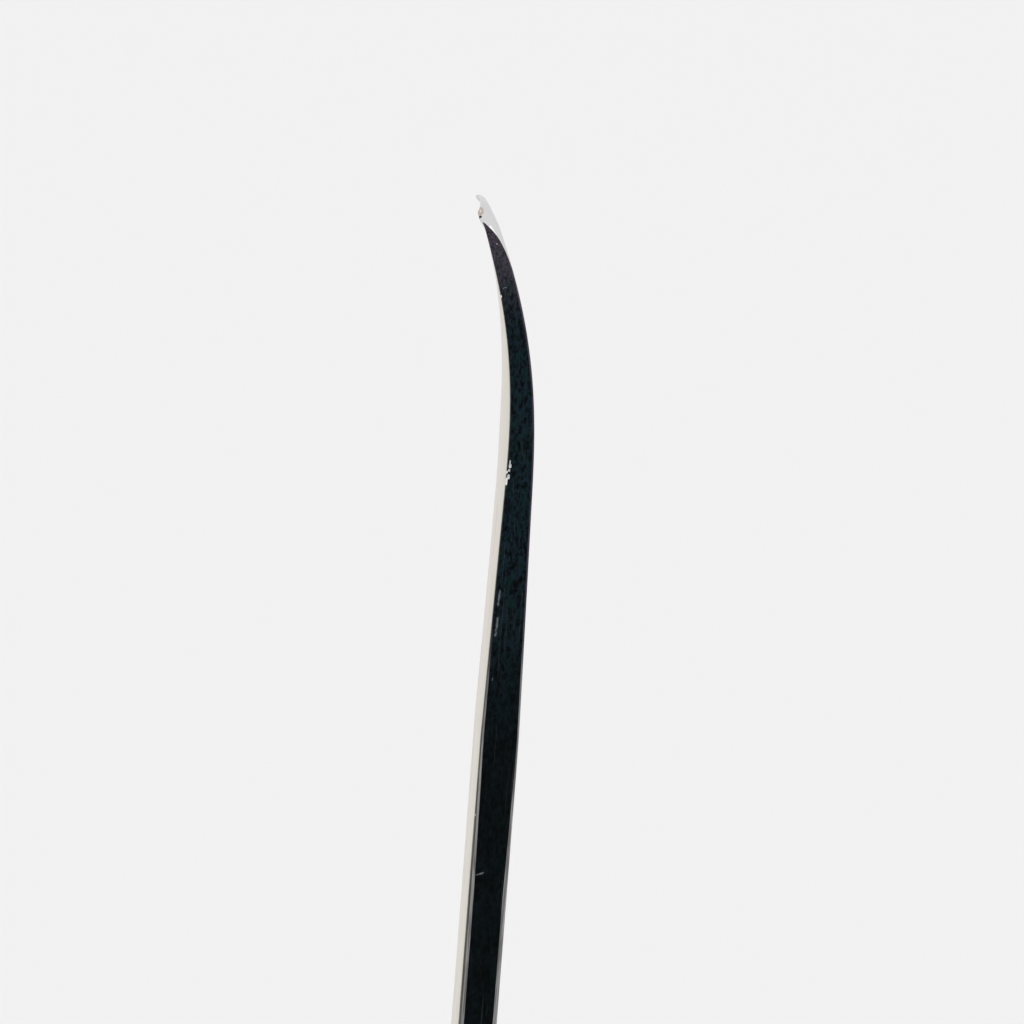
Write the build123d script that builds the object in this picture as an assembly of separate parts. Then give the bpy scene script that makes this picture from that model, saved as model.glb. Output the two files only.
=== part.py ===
"""Ice hockey stick, senior size, left-handed, of bonded one-piece composite construction.

Frame: +Z runs up the middle of the shaft from the butt to the blade, with the origin at the centre of
the butt's flat end. The shaft's wide side lies across X. The blade's toe points to -X and up, its
hollow forehand face looks to -Y and its running edge looks to +X and up.

The blade is drawn in a frame of its own. Its origin is the heel corner, where the shaft's outer side
and the running edge would meet if the heel were sharp. u runs along the running edge to the toe,
v runs across the blade from the running edge to the top edge, and w runs out of the forehand face.
"""

import os
from math import cos, radians, sin, tan

from build123d import *

# ---------------------------------------------------------------- driving dimensions, mm and degrees

STICK_LENGTH = 1524.0  # butt face to heel corner: a 60 inch senior stick
LIE_TURN = 45.0  # how far the running edge turns away from the line of the shaft: lie 5

SHAFT_WIDTH = 29.5  # across X
SHAFT_THICKNESS = 19.5  # across Y
SHAFT_CORNER = 4.5
SHAFT_WALL = 1.6
GLUE_GAP = 0.35  # adhesive between the shaft's bore and what is bonded into it

PLUG_HEAD = 14.0  # the part of the butt plug that shows below the shaft
PLUG_TONGUE = 50.0  # the part of the butt plug inside the shaft
PLUG_EDGE = 2.0

KNOB_START = 2.5  # the knob of tape stops short of the butt's flat end
KNOB_LENGTH = 26.0
KNOB_BUILD = 3.8  # how thick the tape is wound at the knob
KNOB_EDGE = 1.6
GRIP_LENGTH = 170.0  # wound handle above the knob
TAPE_BUILD = 1.0  # overlapping turns of cloth tape on the handle

HOSEL_LENGTH = 136.0  # bonded joint to the cut across the neck
HOSEL_STRAIGHT = 36.0  # of that, the part that keeps the shaft's section
HOSEL_WALL = 2.2
TENON_LENGTH = 66.0  # how far the hosel's tongue reaches down into the shaft
WRAP_LENGTH = 52.0  # carbon band over the joint
WRAP_BUILD = 0.35

NECK_DROP = 90.0  # heel corner down to the cut across the neck
NECK_WIDTH = 25.0
NECK_THICKNESS = 12.5
NECK_CORNER = 3.2

BLADE_LENGTH = 303.0  # heel corner to the end of the toe
HEEL_HEIGHT = 60.0  # blade height, taken back to the heel corner
TOE_HEIGHT = 67.0
TOE_RAKE = 6.0  # how far the top of the toe lies behind its bottom
ROCKER = 2.5  # bulge of the running edge
HEEL_RADIUS = 46.0
TOE_RADIUS = 36.0
TOE_TOP_RADIUS = 27.0
THROAT_RADIUS = 58.0

CURVE_START = 219.5  # the blade is straight from the heel to here
CURVE_EASE = 80.0  # the bend comes in over this length, and the toe runs straight on
TOE_SLOPE = 0.405  # how steeply the toe runs out on the forehand side
TOE_OPENING = 4.5  # how far the face lies open at the toe, degrees
OPENING_START = 235.0  # the face begins to lie open here
EDGE_THICKNESS = 9.5  # along the running edge, up to TAPER_START
TAPER_START = 161.0
TOE_THICKNESS = 3.4
TOP_THINNING = 2.0  # how much thinner the blade is TOE_HEIGHT above its running edge
TOE_TOP_THINNING = 0.3

SKIN = 0.9  # carbon face sheet
EDGE_DEPTH = 3.2  # hard edge strips round the blade
EDGE_TURN = 15.0  # the running edge strip climbs this far up the heel and the toe
TOE_STRIP = 72.0  # length of the toe strip, back from the end of the toe
HEEL_BLOCK_END = 44.0  # the dense heel block stops here, and the foam begins
BRIDGE_HEIGHT = 27.0
BRIDGE_THICKNESS = 3.0

# ------------------------------------------------------------------------------------- worked out

JOINT_Z = STICK_LENGTH - NECK_DROP - HOSEL_LENGTH
TAPER_Z = JOINT_Z + HOSEL_STRAIGHT
NECK_Z = STICK_LENGTH - NECK_DROP
BORE = (SHAFT_WIDTH - 2 * SHAFT_WALL, SHAFT_THICKNESS - 2 * SHAFT_WALL, SHAFT_CORNER - SHAFT_WALL)
TONGUE = tuple(size - 2 * GLUE_GAP for size in BORE[:2]) + (BORE[2] - GLUE_GAP,)
SHAFT = (SHAFT_WIDTH, SHAFT_THICKNESS, SHAFT_CORNER)
NECK = (NECK_WIDTH, NECK_THICKNESS, NECK_CORNER)

LIE_SIN = sin(radians(LIE_TURN))
LIE_COS = cos(radians(LIE_TURN))
BLADE = Plane(
    origin=(NECK_WIDTH / 2, 0, STICK_LENGTH),
    x_dir=(-LIE_SIN, 0, LIE_COS),
    z_dir=(0, -1, 0),
)
CUT_BACK = 20.0  # how far cutting shapes run past what they cut
SLAB_LOW = -CUT_BACK  # the blade's slab is drawn between these two heights
SLAB_HIGH = NECK_DROP * LIE_SIN + NECK_WIDTH * LIE_COS + CUT_BACK
SLAB_STATIONS = 20


def grown(section, by):
    """A section (width, thickness, corner) grown outwards by a distance, which may be negative."""
    return (section[0] + 2 * by, section[1] + 2 * by, section[2] + by)


def bar(section, low, high):
    """A straight bar of rounded rectangular section between two heights on the shaft's line."""
    return extrude(Plane.XY.offset(low) * RectangleRounded(*section), high - low)


def sleeve(outer, inner, low, high):
    """A rectangular tube between two heights on the shaft's line."""
    return bar(outer, low, high) - bar(inner, low, high)


def taper(lower, upper, low, high):
    """A bar whose section changes evenly from one rounded rectangle to another."""
    ends = [
        Plane.XY.offset(low) * RectangleRounded(*lower),
        Plane.XY.offset(high) * RectangleRounded(*upper),
    ]
    return loft(ends, ruled=True)


# --------------------------------------------------------------------------- the butt and the shaft


def butt_plug():
    """Moulded end plug: a head that continues the shaft, and a tongue bonded into the bore."""
    head = bar(SHAFT, 0, PLUG_HEAD)
    head = fillet(head.edges().group_by(Axis.Z)[0], PLUG_EDGE)
    return head + bar(TONGUE, PLUG_HEAD, PLUG_HEAD + PLUG_TONGUE)


def plug_adhesive():
    return sleeve(BORE, TONGUE, PLUG_HEAD, PLUG_HEAD + PLUG_TONGUE)


def shaft_tube():
    return sleeve(SHAFT, BORE, PLUG_HEAD, JOINT_Z)


def knob_tape():
    """Tape wound on itself at the butt, to stop the hand."""
    top = KNOB_START + KNOB_LENGTH
    roll = bar(grown(SHAFT, KNOB_BUILD), KNOB_START, top)
    ends = roll.edges().group_by(Axis.Z)
    roll = fillet(ends[0] + ends[-1], KNOB_EDGE)
    return roll - bar(SHAFT, KNOB_START, top)


def grip_tape():
    low = KNOB_START + KNOB_LENGTH
    return sleeve(grown(SHAFT, TAPE_BUILD), SHAFT, low, low + GRIP_LENGTH)


# ------------------------------------------------------------------------- the joint and the hosel


def hosel_shell():
    """Hollow neck that carries the shaft's section up to the blade."""
    outside = bar(SHAFT, JOINT_Z, TAPER_Z) + taper(SHAFT, NECK, TAPER_Z, NECK_Z)
    return outside - bar(BORE, JOINT_Z, TAPER_Z) - hosel_core()


def hosel_core():
    """Foam that fills the tapered neck."""
    return taper(grown(SHAFT, -HOSEL_WALL), grown(NECK, -HOSEL_WALL), TAPER_Z, NECK_Z)


def hosel_tenon():
    """Tongue that stands in the shaft's bore and in the straight part of the hosel."""
    return bar(TONGUE, JOINT_Z - TENON_LENGTH, TAPER_Z)


def tenon_adhesive():
    return sleeve(BORE, TONGUE, JOINT_Z - TENON_LENGTH, TAPER_Z)


def joint_wrap():
    return sleeve(grown(SHAFT, WRAP_BUILD), SHAFT, JOINT_Z - WRAP_LENGTH / 2, JOINT_Z + WRAP_LENGTH / 2)


# ------------------------------------------------------------------------------- the blade's surface


def smooth(value, start, end):
    """0 before start, 1 after end, with no corner between."""
    share = min(1.0, max(0.0, (value - start) / (end - start)))
    return share * share * (3 - 2 * share)


def middle_line(u):
    """Where the middle of the running edge stands, w at u: straight, then a slope that eases in."""
    share = min(1.0, max(0.0, u - CURVE_START) / CURVE_EASE)
    eased = CURVE_EASE * (share**3 - share**4 / 2)
    straight = max(0.0, u - CURVE_START - CURVE_EASE)
    return TOE_SLOPE * (eased + straight)


def opening(u):
    """How far the middle surface leans back for each mm of height: none at the heel, most at the toe."""
    return -tan(radians(TOE_OPENING)) * smooth(u, OPENING_START, BLADE_LENGTH)


def edge_thickness(u):
    """Thickness along the running edge: the neck's, then the blade's, then an even taper to the toe."""
    heel = NECK_THICKNESS + (EDGE_THICKNESS - NECK_THICKNESS) * smooth(u, -HEEL_BLOCK_END, 2 * HEEL_BLOCK_END)
    share = min(1.0, max(0.0, u - TAPER_START) / (BLADE_LENGTH - TAPER_START))
    return heel + (TOE_THICKNESS - EDGE_THICKNESS) * share


def thinning(u):
    """How much thickness the blade loses for each mm of height: none at the neck, less at the toe."""
    toe = smooth(u, TAPER_START, BLADE_LENGTH)
    loss = TOP_THINNING + (TOE_TOP_THINNING - TOP_THINNING) * toe
    return loss / TOE_HEIGHT * smooth(u, -HEEL_BLOCK_END / 2, 2 * HEEL_BLOCK_END)


def slab_profile(v, back_skin, front_skin):
    """The blade's plan at one height, less the given depth off its backhand and forehand sides."""
    start = -SLAB_HIGH
    step = (BLADE_LENGTH + CUT_BACK / 2 - start) / (SLAB_STATIONS - 1)
    front, back = [], []
    for number in range(SLAB_STATIONS):
        u = start + number * step
        middle = middle_line(u) + opening(u) * v
        half = (edge_thickness(u) - thinning(u) * max(v, 0)) / 2
        front.append((u, v, middle + half - front_skin))
        back.append((u, v, middle - half + back_skin))
    sides = [Spline(*front), Spline(*back)]
    ends = [Line(front[0], back[0]), Line(front[-1], back[-1])]
    return make_face(sides + ends)


def slab(back_skin=0.0, front_skin=0.0):
    """Endless curved sheet that the blade's pieces are cut from, less a depth off each side."""
    profiles = [slab_profile(v, back_skin, front_skin) for v in (SLAB_LOW, SLAB_HIGH)]
    return loft(profiles, ruled=True)


# ------------------------------------------------------------------------------- the blade's outline


def down_the_shaft(distance, across=0.0):
    """The point that lies down the shaft from the heel corner and inwards across it, as (u, v)."""
    return (across * LIE_SIN - distance * LIE_COS, distance * LIE_SIN + across * LIE_COS)


def outline(inset=0.0):
    """The blade's side view, with its neck run on past the cut, and set in by a distance."""
    drop = NECK_DROP + CUT_BACK
    heel = (0.0, 0.0)
    toe = (BLADE_LENGTH, 0.0)
    toe_top = (BLADE_LENGTH - TOE_RAKE, TOE_HEIGHT)
    slope = (TOE_HEIGHT - HEEL_HEIGHT) / (BLADE_LENGTH - TOE_RAKE)
    throat_drop = (HEEL_HEIGHT + NECK_WIDTH * (slope * LIE_SIN - LIE_COS)) / (LIE_SIN + slope * LIE_COS)
    throat = down_the_shaft(throat_drop, NECK_WIDTH)
    rounds = {heel: HEEL_RADIUS, toe: TOE_RADIUS, toe_top: TOE_TOP_RADIUS, throat: THROAT_RADIUS}
    edges = [
        Line(down_the_shaft(drop), heel),
        ThreePointArc(heel, (BLADE_LENGTH / 2, -ROCKER), toe),
        Line(toe, toe_top),
        Line(toe_top, throat),
        Line(throat, down_the_shaft(drop, NECK_WIDTH)),
        Line(down_the_shaft(drop, NECK_WIDTH), down_the_shaft(drop)),
    ]
    shape = make_face(edges)
    for corner, radius in rounds.items():
        nearest = shape.vertices().sort_by_distance((corner[0], corner[1], 0))[0]
        shape = fillet(nearest, radius)
    return offset(shape, -inset, kind=Kind.INTERSECTION) if inset else shape


def prism(shape):
    """A side view drawn out right through the blade, both ways."""
    reach = middle_line(BLADE_LENGTH) + NECK_THICKNESS + SLAB_HIGH * tan(radians(TOE_OPENING))
    return extrude(shape, reach, both=True)


def block(u_low, u_high, v_low, v_high):
    """A rectangle of the side view drawn out right through the blade."""
    size = (u_high - u_low, v_high - v_low)
    return prism(Pos((u_low + u_high) / 2, (v_low + v_high) / 2) * Rectangle(*size))


FAR = BLADE_LENGTH + SLAB_HIGH  # past everything in the side view
NECK_SIDE = prism(make_face(Polyline(
    down_the_shaft(NECK_DROP, -FAR),
    down_the_shaft(NECK_DROP, FAR),
    down_the_shaft(NECK_DROP + FAR, FAR),
    down_the_shaft(NECK_DROP + FAR, -FAR),
    close=True,
)))
WHOLE = prism(outline()) - NECK_SIDE
INNER = prism(outline(EDGE_DEPTH)) - NECK_SIDE
RUNNING_ZONE = (WHOLE - INNER) & block(-FAR, FAR, -FAR, EDGE_TURN)
BACK_SHEET = slab(0.0, 0.0) - slab(SKIN, -CUT_BACK)
FRONT_SHEET = slab(0.0, 0.0) - slab(-CUT_BACK, SKIN)
BETWEEN = slab(SKIN, SKIN)


def running_edge():
    """Hard strip, as thick as the blade, from the heel to the toe."""
    return slab() & RUNNING_ZONE


def forehand_skin():
    return FRONT_SHEET & (WHOLE - RUNNING_ZONE)


def backhand_skin():
    return BACK_SHEET & (WHOLE - RUNNING_ZONE)


def edge_band(u_low, u_high, v_low):
    """A stretch of the hard strip between the two skins."""
    return BETWEEN & (WHOLE - INNER) & block(u_low, u_high, v_low, FAR)


def toe_edge():
    return edge_band(BLADE_LENGTH - TOE_STRIP, FAR, EDGE_TURN)


def top_edge():
    """Strip along the top of the blade and down the inner side of the neck."""
    split = tuple((a + b) / 2 for a, b in zip(down_the_shaft(NECK_DROP), down_the_shaft(NECK_DROP, NECK_WIDTH)))
    inner_side = prism(make_face(Polyline(
        (split[0] - FAR * LIE_COS, split[1] + FAR * LIE_SIN),
        (split[0] + FAR * LIE_COS, split[1] - FAR * LIE_SIN),
        (FAR + split[0] + FAR * LIE_COS, split[1] - FAR * LIE_SIN),
        (FAR + split[0] + FAR * LIE_COS, split[1] + FAR * LIE_SIN),
        close=True,
    )))
    return edge_band(-FAR, BLADE_LENGTH - TOE_STRIP, EDGE_TURN) & inner_side


def heel_edge():
    """Strip down the outer side of the neck."""
    return edge_band(-FAR, BLADE_LENGTH - TOE_STRIP, EDGE_TURN) - top_edge()


def core(u_low, u_high, v_low, v_high):
    """A piece of the blade's filling, between the skins and inside the edge strips."""
    return BETWEEN & INNER & block(u_low, u_high, v_low, v_high)


def heel_block():
    return core(-FAR, HEEL_BLOCK_END, -FAR, FAR)


def lower_core():
    return core(HEEL_BLOCK_END, FAR, -FAR, BRIDGE_HEIGHT)


def core_bridge():
    """Carbon web that ties the two skins together between the two foams."""
    return core(HEEL_BLOCK_END, FAR, BRIDGE_HEIGHT, BRIDGE_HEIGHT + BRIDGE_THICKNESS)


def upper_core():
    return core(HEEL_BLOCK_END, FAR, BRIDGE_HEIGHT + BRIDGE_THICKNESS, FAR)


# ----------------------------------------------------------------------------------- write the parts

SHAFT_PIECES = [
    butt_plug,
    plug_adhesive,
    knob_tape,
    grip_tape,
    shaft_tube,
    joint_wrap,
    tenon_adhesive,
    hosel_tenon,
    hosel_shell,
    hosel_core,
]
BLADE_PIECES = [
    heel_block,
    lower_core,
    core_bridge,
    upper_core,
    forehand_skin,
    backhand_skin,
    running_edge,
    toe_edge,
    top_edge,
    heel_edge,
]

os.makedirs("parts", exist_ok=True)
for make in SHAFT_PIECES + BLADE_PIECES:
    piece = make()
    if make in BLADE_PIECES:
        piece = BLADE * piece
    export_step(piece, f"parts/{make.__name__}.step")
    print(make.__name__, len(piece.solids()), "solid,", round(piece.volume / 1000, 2), "cm3")
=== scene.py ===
# %% [markdown]
# # An ice hockey stick, from butt to toe
#
# The stick stands on its butt, with the shaft up the Z axis and the blade at the top. Its structure comes
# in ready made, as one mesh for each piece. This notebook gives every piece that shows the surface of the
# real one: rounded edges, wound cloth tape, worn paint, and a chipped black strip along the ice side.

# %% Load the stick's structure
from math import cos, pi, radians, sin, tan

import bpy
import numpy as np
from mathutils import Matrix, Vector


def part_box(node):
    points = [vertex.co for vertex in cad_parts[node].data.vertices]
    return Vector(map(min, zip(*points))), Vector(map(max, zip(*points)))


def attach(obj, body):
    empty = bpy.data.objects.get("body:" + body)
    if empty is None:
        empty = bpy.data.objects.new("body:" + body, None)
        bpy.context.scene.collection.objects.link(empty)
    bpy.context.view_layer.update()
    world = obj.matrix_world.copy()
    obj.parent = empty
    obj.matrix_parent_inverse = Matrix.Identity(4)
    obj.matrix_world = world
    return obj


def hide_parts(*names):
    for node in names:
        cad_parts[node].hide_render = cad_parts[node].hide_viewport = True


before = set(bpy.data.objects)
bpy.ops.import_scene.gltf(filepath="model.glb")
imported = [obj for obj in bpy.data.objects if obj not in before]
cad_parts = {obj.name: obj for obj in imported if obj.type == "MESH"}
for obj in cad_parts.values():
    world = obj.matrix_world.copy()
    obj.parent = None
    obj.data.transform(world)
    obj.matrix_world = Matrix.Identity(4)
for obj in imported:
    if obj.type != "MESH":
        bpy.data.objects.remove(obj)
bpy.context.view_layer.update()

print("pieces in the structure:", len(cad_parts))

# %% [markdown]
# ## Sizes
#
# What can be read off the structure is read off it. The rest are the maker's own sizes: how round the
# corners are, how the blade bends, how thick it is, and how wide a roll of tape is. All are in metres,
# and each is named once, so that a change of it reaches everything that depends on it.

# %% Sizes of the shaft, the hosel and the neck
MM = 0.001
shaft_low, shaft_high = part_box("shaft_tube")
SHAFT = (shaft_high.x - shaft_low.x, shaft_high.y - shaft_low.y, 4.5 * MM)
SHAFT_WALL = 1.6 * MM
JOINT_Z = shaft_high.z
HOSEL_STRAIGHT = 36 * MM
HOSEL_WALL = 2.2 * MM
NECK_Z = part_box("hosel_shell")[1].z
NECK = (25 * MM, 12.5 * MM, 3.2 * MM)
NECK_DROP = 90 * MM
print("shaft section", [round(size / MM, 1) for size in SHAFT], "mm, joint at", round(JOINT_Z, 3), "m")

# %% Sizes of the blade
BLADE_LENGTH = 303 * MM
HEEL_HEIGHT = 60 * MM
TOE_HEIGHT = 67 * MM
TOE_RAKE = 6 * MM
ROCKER = 2.5 * MM
HEEL_RADIUS = 46 * MM
TOE_RADIUS = 36 * MM
TOE_TOP_RADIUS = 27 * MM
THROAT_RADIUS = 58 * MM
CURVE_START = 219.5 * MM
CURVE_EASE = 80 * MM
TOE_SLOPE = 0.405
TOE_OPENING = radians(4.5)
OPENING_START = 235 * MM
EDGE_THICKNESS = 9.5 * MM
TAPER_START = 161 * MM
TOE_THICKNESS = 3.4 * MM
TOP_THINNING = 2.0 * MM
TOE_TOP_THINNING = 0.3 * MM
SKIN = 0.9 * MM
EDGE_DEPTH = 3.2 * MM
EDGE_TURN = 15 * MM
TOE_STRIP = 72 * MM
HEEL_BLOCK_END = 44 * MM
print("blade", round(BLADE_LENGTH / MM), "mm long, its edge", round(EDGE_THICKNESS / MM, 1), "mm thick")

# %% [markdown]
# ## The blade's own directions
#
# A blade is drawn on its own axes: along the ice edge from heel to toe, up from the ice edge to the top
# edge, and out of the hollow face. It could be modelled lying flat and then turned into place. Here every
# formula works on those three distances, and one function turns them into places on the stick, so that
# nothing has to be moved afterwards.

# %% From the blade's distances to places on the stick
LIE = radians(45)
HEEL = np.array([NECK[0] / 2, 0, NECK_Z + NECK_DROP])
TO_TOE = np.array([-sin(LIE), 0, cos(LIE)])
TO_TOP = np.array([-cos(LIE), 0, -sin(LIE)])
OUT_OF_FACE = np.array([0, -1, 0])


def on_stick(along, up, out):
    """The heel corner, plus each of the three distances times its own direction."""
    along, up, out = np.broadcast_arrays(along, up, out)
    return HEEL + along[..., None] * TO_TOE + up[..., None] * TO_TOP + out[..., None] * OUT_OF_FACE


print("heel corner at", HEEL.round(4), "and toe at", on_stick(BLADE_LENGTH, 0, 0).round(4))

# %% [markdown]
# ## The camera
#
# The camera looks square at the ice edge, a little from the hollow face's side, with the toe at the top
# of the picture. It is placed in the blade's own distances, so it stays with the blade if the lie changes.

# %% Camera square to the ice edge


def put(name, data):
    """Puts a new object with this data in the scene."""
    thing = bpy.data.objects.new(name, data)
    bpy.context.scene.collection.objects.link(thing)
    return thing


LENS = 84.375
SENSOR = 36
DISTANCE = 0.6
AIM_ALONG = 217 * MM
AIM_OUT = 1.2 * MM
SIDE_TURN = radians(3.06)
ROLL = radians(4.39)

forward = TO_TOP * cos(SIDE_TURN) - OUT_OF_FACE * sin(SIDE_TURN)
level_right = -TO_TOP * sin(SIDE_TURN) - OUT_OF_FACE * cos(SIDE_TURN)
right = level_right * cos(ROLL) + TO_TOE * sin(ROLL)
upward = TO_TOE * cos(ROLL) - level_right * sin(ROLL)
place = on_stick(AIM_ALONG, 0, AIM_OUT) - forward * DISTANCE

camera_data = bpy.data.cameras.new("camera")
camera_data.lens = LENS
camera_data.sensor_width = SENSOR
camera_data.clip_start = 10 * MM
camera = put("camera", camera_data)
axes = Matrix([right, upward, -forward]).transposed()
camera.matrix_world = Matrix.Translation(Vector(place)) @ axes.to_4x4()
bpy.context.scene.camera = camera
print("camera at", place.round(3))

# %% [markdown]
# ## Floor and light
#
# A pale floor and soft lights make a plain studio. The lights are as if very far off and very wide, so
# the floor is evenly lit out to where it meets the background. A black edge only looks black if what it
# mirrors is dark, so no light stands behind the camera: one is to each side, where it lights a face and
# draws a thin line on the edge's rounded corners, and one is above.

# %% A floor and a pale surround
FLOOR_SIZE = 400.0
PALE = (0.90, 0.90, 0.905, 1)


def floor():
    """A square of four points on the ground, with an off-white, dull finish."""
    mesh = bpy.data.meshes.new("floor")
    reach = FLOOR_SIZE / 2
    corners = [(-reach, -reach, 0), (reach, -reach, 0), (reach, reach, 0), (-reach, reach, 0)]
    mesh.from_pydata(corners, [], [(0, 1, 2, 3)])
    material = bpy.data.materials.new("floor")
    material.use_nodes = True
    shader = material.node_tree.nodes["Principled BSDF"]
    shader.inputs["Base Color"].default_value = PALE
    shader.inputs["Roughness"].default_value = 0.9
    shader.inputs["Specular IOR Level"].default_value = 0.1
    mesh.materials.append(material)
    ground = put("floor", mesh)


def surround(seen, shed, mirrored):
    """The far background has three strengths: what the camera sees, what lights the dull side of a
    surface, and the much darker one that a shiny surface mirrors."""
    world = bpy.data.worlds.new("surround")
    world.use_nodes = True
    tree = world.node_tree
    ray = tree.nodes.new("ShaderNodeLightPath")
    last = None
    for kind, strength in (("Is Camera Ray", seen), ("Is Diffuse Ray", shed)):
        step = tree.nodes.new("ShaderNodeMath")
        step.operation = "MULTIPLY_ADD"
        tree.links.new(ray.outputs[kind], step.inputs[0])
        step.inputs[1].default_value = strength - mirrored
        step.inputs[2].default_value = mirrored
        if last is not None:
            tree.links.new(last.outputs[0], step.inputs[2])
        last = step
    tree.links.new(last.outputs[0], tree.nodes["Background"].inputs["Strength"])
    tree.nodes["Background"].inputs["Color"].default_value = (1, 1, 1, 1)
    bpy.context.scene.world = world


floor()
surround(seen=0.89, shed=0.34, mirrored=0.06)
print("floor", FLOOR_SIZE, "m across")

# %% Soft lights to the sides and above


def soft_light(name, comes_from, spread, strength, colour=(1, 1, 1)):
    """Light that comes evenly from one side of the sky, from a patch as wide as the spread."""
    data = bpy.data.lights.new(name, "SUN")
    data.angle = spread
    data.energy = strength
    data.color = colour
    lamp = put(name, data)
    lamp.rotation_euler = Vector(comes_from).to_track_quat("Z", "Y").to_euler()


soft_light("face_light", (-0.15, -0.87, 0.50), radians(45), 1.20, (1.0, 0.98, 0.945))
soft_light("back_light", (-0.15, 0.87, 0.50), radians(45), 1.10, (0.98, 0.985, 1.0))
soft_light("top_light", (-0.34, 0, 0.94), radians(50), 0.97)
scene = bpy.context.scene
scene.view_settings.view_transform = "Standard"

# %% [markdown]
# ## Surfaces from arrays
#
# Each piece is a grid of points: rows run along the piece, and columns run round or across it. Boxes
# with modifiers could give the bars, but not the blade's bend and its changing corners, and a grid gives
# both by formula. The whole grid is worked out at once with numpy. One function lists the four corners of
# each face of a grid, another closes a row of loops into a tube, and a third makes the Blender mesh.

# %% Grids, tubes and meshes


def faces_of(rows, columns, wrap_rows=False, wrap_columns=True):
    """Corner numbers of the faces of a grid: each point with its neighbours in the next row and column."""
    row, column = np.meshgrid(
        np.arange(rows if wrap_rows else rows - 1),
        np.arange(columns if wrap_columns else columns - 1),
        indexing="ij",
    )
    below, right_of = (row + 1) % rows, (column + 1) % columns
    here, there = row * columns, below * columns
    corners = [here + column, here + right_of, there + right_of, there + column]
    return np.stack(corners, -1).reshape(-1, 4)


def volume(points, faces):
    """Volume inside a closed mesh: the sum over its faces of the solids that they make with the origin."""
    total = 0.0
    for second in (1, 2):
        a, b, c = points[faces[:, 0]], points[faces[:, second]], points[faces[:, second + 1]]
        total += np.einsum("ij,ij->", a, np.cross(b, c)) / 6
    return total


def cap_volume(points, caps):
    """The share of the flat end faces in the volume: each is a fan of triangles from its first corner."""
    total = 0.0
    for cap in caps:
        ring = points[cap]
        total += np.einsum("j,ij->", ring[0], np.cross(ring[1:-1], ring[2:])) / 6
    return total


def make(name, points, faces, caps=(), spread=None, sharp_above=38):
    """A mesh object whose faces look outwards; spread gives each point two distances for its pattern."""
    if volume(points, faces) + cap_volume(points, caps) < 0:
        faces = faces[:, ::-1]
        caps = [cap[::-1] for cap in caps]
    mesh = bpy.data.meshes.new(name)
    mesh.from_pydata(points.tolist(), [], faces.tolist() + [list(map(int, cap)) for cap in caps])
    mesh.polygons.foreach_set("use_smooth", np.ones(len(mesh.polygons), bool))
    mesh.set_sharp_from_angle(angle=radians(sharp_above))
    if spread is not None:
        corner = np.empty(len(mesh.loops), np.int32)
        mesh.loops.foreach_get("vertex_index", corner)
        layer = mesh.uv_layers.new(name="surface")
        layer.data.foreach_set("uv", spread[corner].astype(np.float32).ravel())
    mesh.update()
    return put(name, mesh)


def tube(name, loops, spread=None, hollow=False):
    """Closed loops joined in a row: hollow joins the last to the first, and otherwise flat ends close it."""
    rows, columns = loops.shape[:2]
    faces = faces_of(rows, columns, wrap_rows=hollow)
    ends = [] if hollow else [np.arange(columns)[::-1], np.arange(columns) + (rows - 1) * columns]
    flat_spread = None if spread is None else spread.reshape(-1, 2)
    return make(name, loops.reshape(-1, 3), faces, ends, flat_spread)


def note(piece, name, values):
    """Gives each point of a piece a number that its finish can read."""
    layer = piece.data.attributes.new(name, "FLOAT", "POINT")
    layer.data.foreach_set("value", values.ravel().astype(np.float32))


def dress(piece, name):
    """Rides and replaces a piece that stands for the one node of its name."""
    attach(piece, "root")
    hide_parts(name)
    return piece


print("a grid of 3 loops of 8 points has", len(faces_of(3, 8)), "faces")

# %% [markdown]
# ## Round the blade
#
# Seen from the side, a blade is a path of straight lines with a rounded corner at the heel, at the bottom
# and top of the toe, and at the throat, where it meets the neck. It could be a Blender curve, but then
# its points would be out of numpy's reach. So the path is worked out once, finely, and any point on it is
# looked up by its distance along it.

# %% The side view as one path


def down_neck(distance, across):
    """The point down the shaft's line from the heel corner, and inwards across the neck."""
    return np.array([across * sin(LIE) - distance * cos(LIE), distance * sin(LIE) + across * cos(LIE)])


def turn_at(before, corner, after):
    """The direction into a corner, and the angle that the path turns through there, positive to the left."""
    first = (corner - before) / np.linalg.norm(corner - before)
    second = (after - corner) / np.linalg.norm(after - corner)
    return first, np.arctan2(first[0] * second[1] - first[1] * second[0], first @ second)


def line(start, end, step):
    """Evenly spaced points from one point to another, about a step apart."""
    count = int(np.linalg.norm(end - start) / step) + 2
    return start + np.linspace(0, 1, count)[:, None] * (end - start)


def rounded_path(corners, radii, step):
    """Straight lines whose corners are arcs. Each arc is tangent to its two lines: it starts the radius
    times the tangent of half the turn before the corner, and its centre is a radius to that side."""
    runs, last = [], corners[0]
    for before, corner, after, radius in zip(corners, corners[1:], corners[2:], radii):
        first, turn = turn_at(before, corner, after)
        start = corner - first * radius * tan(abs(turn) / 2)
        spoke = -np.sign(turn) * radius * np.array([-first[1], first[0]])
        sweep = np.linspace(0, turn, int(radius * abs(turn) / step) + 2)[:, None]
        arc = start - spoke + np.cos(sweep) * spoke + np.sin(sweep) * np.array([-spoke[1], spoke[0]])
        runs += [line(last, start, step)[:-1], arc[:-1]]
        last = arc[-1]
    runs.append(line(last, corners[-1], step))
    return np.concatenate(runs), np.cumsum([len(run) for run in runs])[:-1]


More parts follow.
